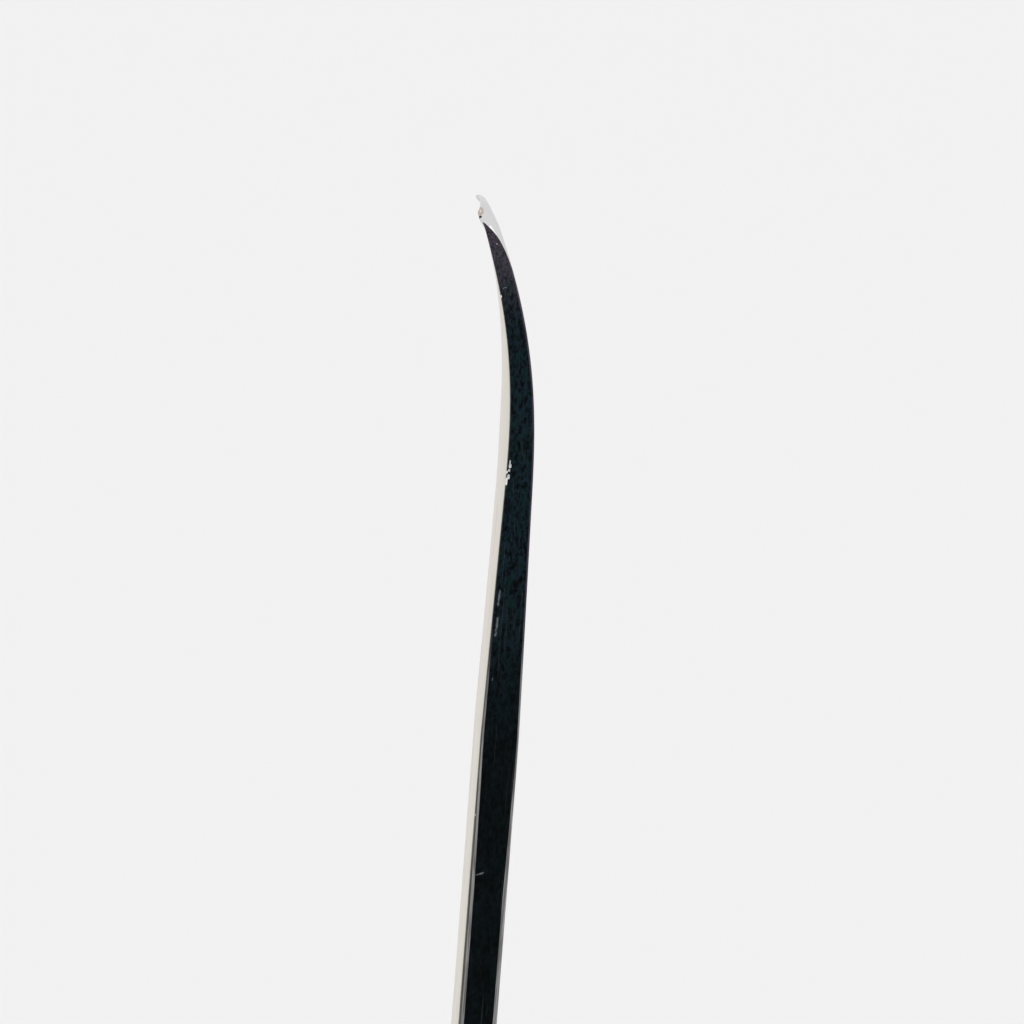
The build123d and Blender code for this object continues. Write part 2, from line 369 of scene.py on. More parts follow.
slope = (TOE_HEIGHT - HEEL_HEIGHT) / (BLADE_LENGTH - TOE_RAKE)
throat_drop = (HEEL_HEIGHT + NECK[0] * (slope * sin(LIE) - cos(LIE))) / (sin(LIE) + slope * cos(LIE))
path, joins = rounded_path(
    [
        down_neck(NECK_DROP, 0),
        np.array([0.0, 0.0]),
        np.array([BLADE_LENGTH, 0.0]),
        np.array([BLADE_LENGTH - TOE_RAKE, TOE_HEIGHT]),
        down_neck(throat_drop, NECK[0]),
        down_neck(NECK_DROP, NECK[0]),
    ],
    [HEEL_RADIUS, TOE_RADIUS, TOE_TOP_RADIUS, THROAT_RADIUS],
    step=0.25 * MM,
)
belly = np.clip(1 - ((path[:, 0] - BLADE_LENGTH / 2) / (BLADE_LENGTH / 2)) ** 2, 0, 1)
path[:, 1] -= ROCKER * belly * np.clip(1 - path[:, 1] / TOE_RADIUS, 0, 1)
walked = np.concatenate([[0], np.cumsum(np.linalg.norm(np.diff(path, axis=0), axis=1))])
RIM_END = walked[-1]
_, HEEL_OUT, TOE_IN, TOE_OUT, TOP_IN, TOP_OUT, THROAT_IN, _ = walked[joins]
heading = np.gradient(path, walked, axis=0)
heading /= np.linalg.norm(heading, axis=1)[:, None]
print("the rim is", round(RIM_END, 4), "m long, and the toe's arc starts at", round(TOE_IN, 4))


def rim(distance):
    """The point at a distance along the rim, and the direction from it into the blade, which is to the
    left of the way along."""
    point = np.stack([np.interp(distance, walked, path[:, axis]) for axis in (0, 1)], -1)
    way = np.stack([np.interp(distance, walked, heading[:, axis]) for axis in (0, 1)], -1)
    way /= np.linalg.norm(way, axis=-1)[..., None]
    return point, np.stack([-way[..., 1], way[..., 0]], -1)


# %% [markdown]
# ## Bend and thickness
#
# A blade is straight from the heel and then bends: its slope eases in from nothing. The face leans open
# towards the toe, and the blade thins towards the toe and towards its top. Each is one short formula of
# the distances along and up the blade.

# %% The middle surface and half the thickness


def ease(value, start, end):
    """0 before the start, 1 after the end, and 3t^2 - 2t^3 between them."""
    share = np.clip((value - start) / (end - start), 0, 1)
    return share * share * (3 - 2 * share)


def middle(along, up):
    """How far the middle of the blade stands out: a slope that eases in, less the lean times the height."""
    share = np.clip((along - CURVE_START) / CURVE_EASE, 0, 1)
    straight = np.clip(along - CURVE_START - CURVE_EASE, 0, None)
    bend = TOE_SLOPE * (CURVE_EASE * (share**3 - share**4 / 2) + straight)
    return bend - tan(TOE_OPENING) * ease(along, OPENING_START, BLADE_LENGTH) * up


def half_thickness(along, up):
    """Half of: the neck's thickness easing to the blade's, an even taper to the toe, less with height."""
    heel = NECK[1] + (EDGE_THICKNESS - NECK[1]) * ease(along, -HEEL_BLOCK_END, 2 * HEEL_BLOCK_END)
    taper = np.clip((along - TAPER_START) / (BLADE_LENGTH - TAPER_START), 0, 1)
    loss = TOP_THINNING + (TOE_TOP_THINNING - TOP_THINNING) * ease(along, TAPER_START, BLADE_LENGTH)
    loss = loss / TOE_HEIGHT * ease(along, -HEEL_BLOCK_END / 2, 2 * HEEL_BLOCK_END)
    return (heel + (TOE_THICKNESS - EDGE_THICKNESS) * taper - loss * np.clip(up, 0, None)) / 2


probe = np.array([100, 250, 298]) * MM
print("thickness near heel, bend and toe:", (2 * half_thickness(probe, 0) / MM).round(2), "mm")

# %% [markdown]
# ## Corners and knocks
#
# The corners of a new blade are rounded, and wear changes them. Towards the toe the ice has ground the
# running edge square, and the toe's back corner is rubbed round. The toe has also mushroomed a little
# over the hollow face, and beside that a knock has left a swelling with broken paint.

# %% How round the corners are, and where the blade has swollen
SQUARE_FROM, SQUARE_HALF, SQUARE_TO = TOE_IN - 143 * MM, TOE_IN - 110 * MM, TOE_IN - 73 * MM
ROUND_AT = np.array([0, HEEL_OUT, SQUARE_FROM, SQUARE_HALF, SQUARE_TO, TOE_IN + 20 * MM])
ROUND_AT = np.append(ROUND_AT, [TOE_OUT - 9 * MM, TOP_IN + 10 * MM, TOP_OUT, THROAT_IN, RIM_END])
FACE_ROUND = np.array([3.2, 1.35, 1.35, 0.85, 0.4, 0.4, 0.5, 0.5, 1.1, 1.1, 3.2]) * MM
BACK_ROUND = np.array([3.2, 1.30, 1.20, 0.55, 0.55, 0.55, 2.5, 2.3, 1.1, 1.1, 3.2]) * MM
KNOCK = TOE_IN + 35.2 * MM
SWELLINGS = [  # along and up the blade, how far it reaches, and how high it stands, in mm
    (292.2, 14.0, 3.0, 0.82),
    (297.3, 23.0, 4.8, -0.80),
    (296.8, 30.5, 3.0, -0.80),
    (296.6, 36.5, 4.0, -0.70),
    (299.8, 32.0, 2.4, 0.60),
    (299.3, 43.0, 6.5, -0.50),
]
BACK_WORN = 0.62


def roundness(distance, side):
    """The radius of the corner, read off a short list of places along the rim. side is 1 on the hollow
    face and -1 on the back."""
    return np.interp(distance, ROUND_AT, FACE_ROUND if side > 0 else BACK_ROUND)


def swelling(along, up):
    """The sum of a few bumps and hollows, each with a flat top: its height times e to the minus fourth
    power of the distance over its reach."""
    total = 0
    for at_along, at_up, reach, height in SWELLINGS:
        away = ((along - at_along * MM) ** 2 + (up - at_up * MM) ** 2) / (reach * MM) ** 2
        total = total + height * MM * np.exp(-(away**2))
    return total


def on_blade(flat, across):
    """Puts a point of the side view at a distance from the middle surface, positive on the hollow face.
    The swelling counts most at the face and fades as the fourth power of the way to it. The back is worn
    thinner towards the toe's end, by an eased share."""
    along, up = flat[..., 0], flat[..., 1]
    share = np.clip(across / half_thickness(along, up), 0, 1)
    worn = 1 - BACK_WORN * ease(along, BLADE_LENGTH - 15 * MM, BLADE_LENGTH - MM)
    across = np.where(across < 0, across * worn, across)
    return on_stick(along, up, middle(along, up) + across + swelling(along, up) * share**4)


def inset_at(drop, radius):
    """How far in from the rim a rounded corner is, at a drop below the face: a quarter circle."""
    left = radius - np.minimum(drop, radius)
    return radius - np.sqrt(np.clip(radius**2 - left**2, 0, None))


heel_side = walked < HEEL_OUT
toe_side = (walked > TOE_IN) & (walked < TOE_OUT)
EDGE_FROM = np.interp(-EDGE_TURN, -path[heel_side, 1], walked[heel_side])
EDGE_TO = np.interp(EDGE_TURN, path[toe_side, 1], walked[toe_side])
top_side = (walked > TOP_OUT) & (walked < THROAT_IN)
STRIP_END = np.interp(TOE_STRIP - BLADE_LENGTH, -path[top_side, 0], walked[top_side])
print("the running edge goes from", round(EDGE_FROM, 4), "to", round(EDGE_TO, 4), "m along the rim")

# %% [markdown]
# ## The two skins
#
# Each face is a thin carbon sheet with paint on it. Its grid has one row for each place along the blade
# and spans from the lower rim to the upper one, with its columns crowded towards both rims. Cutting the
# outline out of a bent sheet would leave ragged corners, and a grid that ends on the rim does not. The
# same grid, a skin's depth further in, is the inner side. Between them go rings that round the outer
# corner. Where the black strip lies, the skin stops short of the rim and its side is cut straight.

# %% The two skins
SKIN_COLUMNS = 60
CORNER_RINGS = 9
HEEL_ROWS, LENGTH_ROWS, TOE_ROWS = 60, 170, 70
CUT_GAP = 0.001  # as a share of one of the three stretches


def rows_along():
    """Places from the neck, 0, past the heel, 1, and the toe's arc, 2, to the end of the toe, 3, with two
    close together wherever the black strip starts or stops."""
    cuts = np.interp([EDGE_FROM, EDGE_TO], [0, HEEL_OUT, TOE_IN, TOE_OUT], [0, 1, 2, 3])
    counts = enumerate((HEEL_ROWS, LENGTH_ROWS, TOE_ROWS))
    places = [np.linspace(at, at + 1, count)[min(at, 1) :] for at, count in counts]
    return np.sort(np.concatenate([*places, cuts - CUT_GAP, cuts + CUT_GAP]))


def skin_layer(rows, drop, side):
    """Points between the two rims at a drop below the face. Each rim point moves in by the corner's
    inset, and each row is a straight line between the two."""
    low = np.interp(rows, [0, 1, 2, 3], [0, HEEL_OUT, TOE_IN, TOE_OUT])
    high = np.interp(rows, [0, 1, 2, 3], [RIM_END, THROAT_IN, TOP_OUT, TOP_IN])
    in_strip = (low > EDGE_FROM) & (low < EDGE_TO)
    low_inset = np.where(in_strip, EDGE_DEPTH, inset_at(drop, roundness(low, side)))
    high_inset = inset_at(drop, roundness(high, side))
    (low_point, low_in), (high_point, high_in) = rim(low), rim(high)
    first = low_point + low_in * low_inset[:, None]
    last = high_point + high_in * high_inset[:, None]
    share = (1 - np.cos(np.linspace(0, pi, SKIN_COLUMNS))) / 2
    flat = first[:, None] + share[:, None] * (last - first)[:, None]
    width = np.linalg.norm(last - first, axis=1)[:, None]
    to_rim = np.minimum(low_inset[:, None] + share * width, high_inset[:, None] + (1 - share) * width)
    across = side * (half_thickness(flat[..., 0], flat[..., 1]) - drop)
    return on_blade(flat, across), to_rim


def skin(name, side):
    """Joins the outer grid, the rings round its border and the inner grid into one closed sheet."""
    rows = rows_along()
    drops = SKIN * np.linspace(0, 1, CORNER_RINGS) ** 2
    layers = [skin_layer(rows, drop, side) for drop in drops]
    number = np.arange(len(rows) * SKIN_COLUMNS).reshape(len(rows), SKIN_COLUMNS)
    border = np.concatenate([number[:-1, 0], number[-1, :-1], number[:0:-1, -1], number[0, :0:-1]])
    middles = [layer.reshape(-1, 3)[border] for layer, _ in layers[1:-1]]
    points = np.concatenate([layers[0][0].reshape(-1, 3), *middles, layers[-1][0].reshape(-1, 3)])
    last_grid = number.size + len(middles) * len(border)
    between = number.size + np.arange(len(middles) * len(border)).reshape(-1, len(border))
    rings = np.vstack([border, between, border + last_grid])
    walls = np.stack([rings[:-1], rings[1:], np.roll(rings[1:], -1, 1), np.roll(rings[:-1], -1, 1)], -1)
    outer = faces_of(*number.shape, wrap_columns=False)
    faces = np.concatenate([outer, walls.reshape(-1, 4), outer[:, ::-1] + last_grid])
    piece = make(name, points, faces)
    to_rim = [layers[0][1].ravel()] + [to_rim.ravel()[border] for _, to_rim in layers[1:-1]]
    note(piece, "to_rim", np.concatenate(to_rim + [layers[-1][1].ravel()]))
    return dress(piece, name)


forehand_skin = skin("forehand_skin", 1)
backhand_skin = skin("backhand_skin", -1)
print("faces in a skin:", len(forehand_skin.data.polygons))

# %% [markdown]
# ## The strips round the rim
#
# Hard strips close the blade all round, and take the knocks that would open the skins. They are tubes
# along the rim: the outer side carries on the skins' rounded corners and is flat between them, and the
# inner side is flat. Because skins and strips read the same formulas, they meet without a step.

# %% Strips between the two skins
STRIP_TURN, STRIP_FLAT, STRIP_INNER = 7, 12, 6
LEAST_ROUND = 1.02 * SKIN


def closed_loops(sides, shares, inner):
    """Loops from insets and distances across of two rounded corners: down the first, over a flat with
    points at some shares of the way, up the second, and back through the inner side's points."""
    (face_inset, face), (back_inset, back) = sides
    flat = face[:, -1:] + shares * (back[:, -1:] - face[:, -1:])
    inset = np.hstack([face_inset, 0 * flat, back_inset[:, ::-1], 0 * inner + EDGE_DEPTH])
    return inset, np.hstack([face, flat, back[:, ::-1], inner])


def strip_loops(distance):
    """Loops across the strip: the rest of one rounded corner, a flat, the rest of the other corner, and
    back along a line at the strip's depth."""
    point, inward = rim(distance)
    half = half_thickness(point[:, 0], point[:, 1])
    sides = []
    for side in (1, -1):
        radius = np.maximum(roundness(distance, side), LEAST_ROUND)[:, None]
        drop = SKIN + (radius - SKIN) * np.linspace(0, 1, STRIP_TURN)
        inset = inset_at(drop, roundness(distance, side)[:, None])
        sides.append((inset, side * (half[:, None] - drop)))
    inner = np.linspace(-1, 1, STRIP_INNER) * (half - SKIN)[:, None]
    inset, across = closed_loops(sides, np.linspace(0, 1, STRIP_FLAT)[1:-1], inner)
    return on_blade(point[:, None] + inward[:, None] * inset[..., None], across)


def strip(name, start, end):
    """A strip between two distances along the rim, a row for every millimetre."""
    distance = np.linspace(start, end, int((end - start) / MM))
    return dress(tube(name, strip_loops(distance)), name)


heel_edge = strip("heel_edge", 0, EDGE_FROM)
toe_edge = strip("toe_edge", EDGE_TO, STRIP_END)
top_edge = strip("top_edge", STRIP_END, RIM_END)
print("points in the strips:", [len(piece.data.vertices) for piece in (heel_edge, toe_edge, top_edge)])

# %% [markdown]
# ## The running edge
#
# This is the strip that slides on the ice, as thick as the whole blade, and it has taken the knocks:
# a chain of chips along one corner, a few nicks, and scratches across it. Chips could be painted on, but
# a painted chip casts no shade, so they are real hollows in the mesh, which is fine enough to hold them.
# Numbers kept on the points tell the finish where the bare material, the scuffs and the toe's paint are.

# %% Where the running edge is chipped and scratched
CHIPS = [  # along the blade, in from the hollow face's corner, length, width and depth, in mm
    (230.4, 0.55, 0.7, 0.40, 0.08),
    (229.2, 0.62, 1.3, 0.38, 0.20),
    (228.4, 0.70, 0.9, 0.62, 0.30),
    (227.3, 0.56, 0.7, 0.48, 0.26),
    (226.8, 0.08, 0.8, 0.36, 0.20),
    (225.7, 0.50, 1.1, 0.58, 0.33),
    (224.5, 0.15, 1.9, 0.40, 0.28),
    (270.6, 0.10, 0.8, 0.40, 0.15),
    (141.0, 0.10, 0.6, 0.40, 0.12),
    (227.1, 4.20, 0.5, 0.45, 0.09),
    (284.2, 2.05, 0.8, 0.60, 0.10),
]
SCRATCHES = [  # from and to, each as along and in from the hollow face's corner, in mm, then width in mm
    # and how plain it is, from 0 to 1
    (126.2, 1.3, 126.5, 2.3, 0.40, 1.0),
    (126.5, 2.3, 126.9, 3.2, 0.70, 1.0),
    (124.8, 7.4, 125.0, 7.5, 0.45, 0.8),
    (141.4, 8.0, 141.8, 8.1, 0.40, 0.8),
    (174.8, 1.4, 175.4, 1.5, 0.38, 0.9),
    (186.0, 1.1, 190.4, 1.3, 1.00, 0.80),
    (193.6, 1.0, 197.4, 1.2, 0.90, 0.80),
    (194.0, 6.6, 198.0, 6.9, 0.60, 0.60),
    (272.6, 0.9, 272.9, 1.9, 0.26, 1.0),
]
print(len(CHIPS), "chips and", len(SCRATCHES), "scratches")

# %% The running edge's own shape
EDGE_ROWS = 1400
NOTED_CHIP = 0.2 * MM
CROWDING = 1.6
BLACK_END, BLACK_FALL, BLACK_CURL = 30.2 * MM, 7.6 * MM, 8 * MM
FACE_COLUMNS, TURN_COLUMNS, FLAT_COLUMNS, INNER_COLUMNS = 4, 9, 30, 4
ROUND = np.linspace(0, 1, TURN_COLUMNS)
CORNER = np.concatenate([np.zeros(FACE_COLUMNS), ROUND, np.ones(FLAT_COLUMNS), ROUND[::-1]])
CORNER = np.append(CORNER, np.zeros(FACE_COLUMNS + INNER_COLUMNS))


def crowded(count):
    """Shares from 0 to 1 that lie closer together near 0, where the chips are: a power of even shares."""
    return np.linspace(0, 1, count) ** CROWDING


def edge_loops(distance):
    """Loops round the whole strip: down one face, round its corner, across the flat, round the other
    corner, up the other face, and back at the strip's depth."""
    point, inward = rim(distance)
    half = half_thickness(point[:, 0], point[:, 1])[:, None]
    turn = np.linspace(0, pi / 2, TURN_COLUMNS)
    sides = []
    for side in (1, -1):
        radius = roundness(distance, side)[:, None]
        face = EDGE_DEPTH + np.linspace(0, 1, FACE_COLUMNS + 1)[:-1] * (radius - EDGE_DEPTH)
        inset = np.hstack([face, radius * (1 - np.sin(turn))])
        drop = np.hstack([0 * face, radius * (1 - np.cos(turn))])
        sides.append((inset, side * (half - drop)))
    inner = np.linspace(-1, 1, INNER_COLUMNS + 2)[1:-1] * half
    inset, across = closed_loops(sides, crowded(FLAT_COLUMNS + 2)[1:-1], inner)
    return point, inward, half, inset, across


def chipped(along, in_from_corner):
    """Depth of the chips: each is its own depth, times e to the minus fourth power of the distance along
    it over half its length, times the same across it."""
    depth = np.zeros_like(in_from_corner)
    for at, inwards, length, width, deep in CHIPS:
        lengthwise = (along - at * MM) / (length * MM / 2)
        crosswise = (in_from_corner - inwards * MM) / (width * MM / 2)
        depth += deep * MM * np.exp(-(lengthwise**4) - crosswise**4)
    return depth


def scratched(along, in_from_corner):
    """How scratched a point is: as plain as the scratch on its line, times e to the minus distance
    squared beside it."""
    most = np.zeros_like(in_from_corner)
    for from_along, from_in, to_along, to_in, width, plain in SCRATCHES:
        run = np.array([to_along - from_along, to_in - from_in]) * MM
        offset_along, offset_in = along - from_along * MM, in_from_corner - from_in * MM
        share = np.clip((offset_along * run[0] + offset_in * run[1]) / (run @ run), 0, 1)
        gap = np.hypot(offset_along - share * run[0], offset_in - share * run[1])
        most = np.maximum(most, plain * np.exp(-((gap / (width * MM / 2)) ** 2)))
    return most


def past_black(distance, across, half):
    """How far past the slanted end of the black a point is. The end lies furthest on at the hollow
    face's corner, falls back evenly across the edge, and then fast as the sixth power of the way."""
    way = np.clip((1 - across / half) / 2, 0, 1)
    return distance - (TOE_IN + BLACK_END - BLACK_FALL * way - BLACK_CURL * way**6)


def chipped_strip():
    """The strip with its chips pushed in from the rim, and its marks noted on its points."""
    distance = np.linspace(EDGE_FROM, EDGE_TO, EDGE_ROWS)
    point, inward, half, inset, across = edge_loops(distance)
    along = point[:, :1] + 0 * inset
    outer = inset < EDGE_DEPTH - MM
    depth = chipped(along, half - across) * outer
    flat = point[:, None] + inward[:, None] * (inset + depth)[..., None]
    piece = tube("running_edge", on_blade(flat, across))
    note(piece, "chip", depth / NOTED_CHIP)
    note(piece, "corner", 0 * inset + CORNER)
    note(piece, "scratch", scratched(along, half - across) * outer)
    note(piece, "past_black", past_black(distance[:, None], across, half) / MM)
    note(piece, "way_across", across / half)
    return dress(piece, "running_edge")


running_edge = chipped_strip()
print("faces in the running edge:", len(running_edge.data.polygons))

# %% [markdown]
# ## The shaft, the hosel and the butt plug
#
# These are straight or tapering bars of rounded rectangular section. A bevelled box would do for the
# shaft, but not for the hosel's taper, so each is a list of sections at heights along the shaft. Hollow
# ones go up the outside and come back down the inside.

# %% Rounded rectangular sections
FLAT_BY_CORNER = 0.6 * MM
CORNER_POINTS = 9


def sections(rows):
    """Loops of rounded rectangles from rows of width, thickness, corner and height: a quarter circle at
    each corner, with one more point beyond each end of it so that the flats stay flat."""
    width, thickness, corner, height = np.array(rows, float).T[..., None]
    quarter = np.concatenate([[0], np.linspace(0, pi / 2, CORNER_POINTS), [pi / 2]])
    beyond = np.concatenate([[-FLAT_BY_CORNER], np.zeros(CORNER_POINTS), [FLAT_BY_CORNER]])
    angle = (np.arange(4)[:, None] * pi / 2 + quarter).ravel()
    beyond = np.tile(beyond, 4)
    side_x = np.repeat([1, -1, -1, 1], len(quarter))
    side_y = np.repeat([1, 1, -1, -1], len(quarter))
    x = side_x * (width / 2 - corner) + corner * np.cos(angle) - beyond * np.sin(angle)
    y = side_y * (thickness / 2 - corner) + corner * np.sin(angle) + beyond * np.cos(angle)
    return np.stack([x, y, height + 0 * x], -1)


def grown(section, by):
    """A section whose sides have moved out by a distance, which may be negative."""
    return (section[0] + 2 * by, section[1] + 2 * by, section[2] + by)


def bar(name, rows, hollow=True):
    """The bar through a list of sections, dressed as the node of its name."""
    return dress(tube(name, sections(rows), hollow=hollow), name)


print("points round a section:", sections([(*SHAFT, 0)]).shape[1])

# %% The hollow shaft and the carbon band over its joint
PLUG_HEAD = shaft_low.z
BORE = grown(SHAFT, -SHAFT_WALL)
WRAP_PROFILE = [(0.05, 0.0), (0.25, 0.6), (0.35, 1.2)]  # off the shaft, and in from the end, in mm
wrap_low, wrap_high = (corner.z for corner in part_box("joint_wrap"))

shaft_rows = [(*SHAFT, PLUG_HEAD), (*SHAFT, JOINT_Z), (*BORE, JOINT_Z), (*BORE, PLUG_HEAD)]
shaft_tube = bar("shaft_tube", shaft_rows)

wrap_rows = [(*grown(SHAFT, off * MM), wrap_low + inwards * MM) for off, inwards in WRAP_PROFILE]
wrap_rows += [(*grown(SHAFT, off * MM), wrap_high - inwards * MM) for off, inwards in WRAP_PROFILE[::-1]]
joint_wrap = bar("joint_wrap", wrap_rows + [(*SHAFT, wrap_high), (*SHAFT, wrap_low)])
print("band from", round(wrap_low, 4), "to", round(wrap_high, 4), "m up the shaft")

# %% The hosel, from the shaft's section to the neck's
TAPER_Z = JOINT_Z + HOSEL_STRAIGHT
HOSEL_STEPS = 40


def tapering(first, last, low, high, steps):
    """Rows whose width, thickness, corner and height all change evenly."""
    share = np.linspace(0, 1, steps)[:, None]
    return list((1 - share) * np.array([*first, low]) + share * np.array([*last, high]))


outside = [(*SHAFT, JOINT_Z)] + tapering(SHAFT, NECK, TAPER_Z, NECK_Z, HOSEL_STEPS)
inside = tapering(grown(NECK, -HOSEL_WALL), grown(SHAFT, -HOSEL_WALL), NECK_Z, TAPER_Z, HOSEL_STEPS)
hosel_rows = outside + inside + [(*BORE, TAPER_Z), (*BORE, JOINT_Z)]
hosel_shell = bar("hosel_shell", hosel_rows)
print("hosel from", round(JOINT_Z, 3), "to", round(NECK_Z, 3), "m, in", len(hosel_rows), "sections")

# %% The butt plug, with its rounded end and its tongue
PLUG_EDGE = 2 * MM
GLUE_GAP = 0.35 * MM
TONGUE = grown(BORE, -GLUE_GAP)
PLUG_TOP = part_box("butt_plug")[1].z
SHADOW_LINE = 0.35 * MM


def plug_rows():
    """A rounded end as a quarter circle, the head with a fine groove under the shaft, and the tongue."""
    turn = np.linspace(0, pi / 2, CORNER_POINTS)
    rows = [(*grown(SHAFT, -PLUG_EDGE * (1 - sin(a))), PLUG_EDGE * (1 - cos(a))) for a in turn]
    rows.append((*SHAFT, PLUG_HEAD - 2 * SHADOW_LINE))
    rows.append((*grown(SHAFT, -SHADOW_LINE), PLUG_HEAD - SHADOW_LINE))
    rows.append((*grown(SHAFT, -SHADOW_LINE), PLUG_HEAD))
    return rows + [(*TONGUE, PLUG_HEAD), (*TONGUE, PLUG_TOP)]


butt_plug = bar("butt_plug", plug_rows(), hollow=False)
print("plug from 0 to", round(PLUG_TOP, 4), "m")

# %% [markdown]
# ## Tape
#
# The handle is wound with 24 mm cotton tape. It is modelled as what it is: one long ribbon that follows
# the shaft's section round and round, climbs a little each turn, and lies on top of its own last turn
# where it overlaps. The knob is the same tape wound on the spot, so that each turn lies on the one before.
# A plain sleeve with a bump texture would hide where one turn ends and the next begins.

# %% A point round the shaft, at a distance off it
TAPE_WIDTH = 24 * MM
TAPE_THICKNESS = 0.33 * MM
ROWS_A_TURN = 84
ring = sections([(*SHAFT, 0)])[0, :, :2]
ring_steps = np.linalg.norm(np.roll(ring, -1, 0) - ring, axis=1)
GIRTH = ring_steps.sum()
print("once round the shaft is", round(GIRTH / MM, 1), "mm")


def off_shaft(turns, off):
    """The point of the shaft's section that far round it, moved out square to its surface. Square to it
    is from the nearest point of the section's inner rectangle, whose corners the round corners turn on."""
    ring_at = np.concatenate([[0], np.cumsum(ring_steps)]) / GIRTH
    closed = np.vstack([ring, ring[:1]])
    share = np.mod(turns, 1)
    on = np.stack([np.interp(share, ring_at, closed[:, axis]) for axis in (0, 1)], -1)
    reach = np.array([SHAFT[0] / 2 - SHAFT[2], SHAFT[1] / 2 - SHAFT[2]])
    square = on - np.clip(on, -reach, reach)
    square /= np.linalg.norm(square, axis=-1)[..., None]
    return on + square * off[..., None]


def ribbon(name, turns, climb, off):
    """A closed strip of cloth. Its loops go up the outer side, round the edge and down the inner side.
    climb gives its lower edge's height after so many turns, and off gives how far its inner side stands
    off the shaft at each place across it."""
    across = np.concatenate([[0, 0.01, 0.03], np.linspace(0.06, 0.94, 22), [0.97, 0.99, 1]])
    width = np.concatenate([across, across[::-1]]) * TAPE_WIDTH
    face = np.concatenate([np.ones(len(across)), np.zeros(len(across))])
    face[[0, len(across) - 1]] = 0.75
    face[[len(across), -1]] = 0.25
    wound = np.linspace(0, turns, int(turns * ROWS_A_TURN))[:, None]
    height = climb(wound) + width
    lifted = off(wound, width) + face * TAPE_THICKNESS
    points = np.concatenate([off_shaft(wound + 0 * width, lifted), height[..., None]], -1)
    spread = np.stack([wound * GIRTH + 0 * width, width + 0 * wound], -1)
    return dress(tube(name, points, spread), name)


# %% The wound handle
PITCH = 16.5 * MM
grip_low, grip_high = (corner.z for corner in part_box("grip_tape"))
GRIP_RISE = grip_high - grip_low - TAPE_WIDTH
LEVEL_TURNS = 2.0
GRIP_TURNS = GRIP_RISE / PITCH + LEVEL_TURNS
STEP_SOFTNESS = 0.9 * MM
SWAY = 0.35 * MM
RIPPLE = 0.035 * MM
GRIP_GAP = 0.02 * MM
BEDDED = 0.9


def grip_climb(turns):
    """Level, then an even climb, then level again, with a slow sway that dies out at both ends."""
    share = np.clip((turns - LEVEL_TURNS / 2) / (GRIP_TURNS - LEVEL_TURNS), 0, 1)
    sway = SWAY * np.sin(2 * pi * turns * 0.37) * np.sin(pi * share)
    return grip_low + GRIP_RISE * share + sway


def turns_beneath(turns, across):
    """How many earlier turns lie under a point: for each of the last three, 1 where the point is below
    that turn's upper edge, easing to 0 above it, and 0 before the tape's own start."""
    height = grip_climb(turns) + across
    total = 0
    for back in (1, 2, 3):
        upper_edge = grip_climb(turns - back) + TAPE_WIDTH
        under = ease(upper_edge - height, -STEP_SOFTNESS / 3, STEP_SOFTNESS)
        total = total + under * ease(turns - back, 0, 0.02)
    return total


def grip_off(turns, across):
    """The turns beneath times the tape's thickness, with small ripples where the cloth pulls."""
    ripple = RIPPLE * np.sin(2 * pi * turns * 5.3 + across * 700) * np.sin(across / TAPE_WIDTH * pi) ** 2
    beneath = turns_beneath(turns, across) * TAPE_THICKNESS * BEDDED
    return GRIP_GAP + beneath + ripple * (turns > 0.2)


grip_tape = ribbon("grip_tape", GRIP_TURNS, grip_climb, grip_off)
print("tape on the handle:", round(GRIP_TURNS * GIRTH, 2), "m, in", round(GRIP_TURNS, 1), "turns")

# %% The knob
knob_low, knob_high = (corner.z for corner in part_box("knob_tape"))
KNOB_TURNS = (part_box("knob_tape")[1].x - SHAFT[0] / 2) / TAPE_THICKNESS - 1
WANDER = (knob_high - knob_low - TAPE_WIDTH) / 2


def knob_climb(turns):
    """Level, but each turn lies a little above or below the last, by a sine of the turns."""
    return knob_low + WANDER + WANDER * np.sin(2 * pi * turns * 0.43) * ease(turns, 0, 1.5)


def knob_off(turns, across):
    """One thickness for each turn so far. The edges bed down a little, by the fourth power of the way
    from the middle of the tape to its edge."""
    way = np.abs(2 * across / TAPE_WIDTH - 1)
    return TAPE_THICKNESS * turns * (1 - 0.10 * way**4)


def knob_length():
    """The girth grows by a full circle of each turn's distance off the shaft."""
    return KNOB_TURNS * (GIRTH + 2 * pi * TAPE_THICKNESS * KNOB_TURNS / 2)


knob_tape = ribbon("knob_tape", KNOB_TURNS, knob_climb, knob_off)
print("tape in the knob:", round(knob_length(), 2), "m, in", round(KNOB_TURNS, 1), "turns")

# %% [markdown]
# ## Finishes
#
# A finish starts from one shader and adds what hands, ice and boards do to it. It could be an image
# wrapped round each piece. Here it is arithmetic on the place itself, which stays sharp from close by and
# needs no unwrapping. A value on its way between two nodes is kept as a flow, so that a recipe reads like
# a sum: multiplying two flows adds a multiply node. A few helpers do the rest: noise, eased thresholds,
# mixes of two colours, and relief.

# %% Values that flow from node to node


class Flow:
    """A number, colour or vector on its way from one node to the next. Arithmetic on it adds nodes."""

    def __init__(self, socket):
        self.socket = socket

    @property
    def tree(self):
        return self.socket.id_data

    def __add__(self, other):
        return maths("ADD", self, other)

    def __sub__(self, other):
        return maths("SUBTRACT", self, other)

    def __rsub__(self, other):
        return maths("SUBTRACT", other, self)

    def __mul__(self, other):
        return maths("MULTIPLY", self, other)

    def __truediv__(self, other):
        return maths("DIVIDE", self, other)


def add(tree, kind, inputs=(), **settings):
    """Adds a node, sets it, gives each input either a value or a link, and returns its outputs."""
    made = tree.nodes.new("ShaderNode" + kind)
    for name, value in settings.items():
        setattr(made, name, value)
    for name, value in dict(inputs).items():
        if isinstance(value, Flow):
            tree.links.new(value.socket, made.inputs[name])
        else:
            made.inputs[name].default_value = value
    return made.outputs


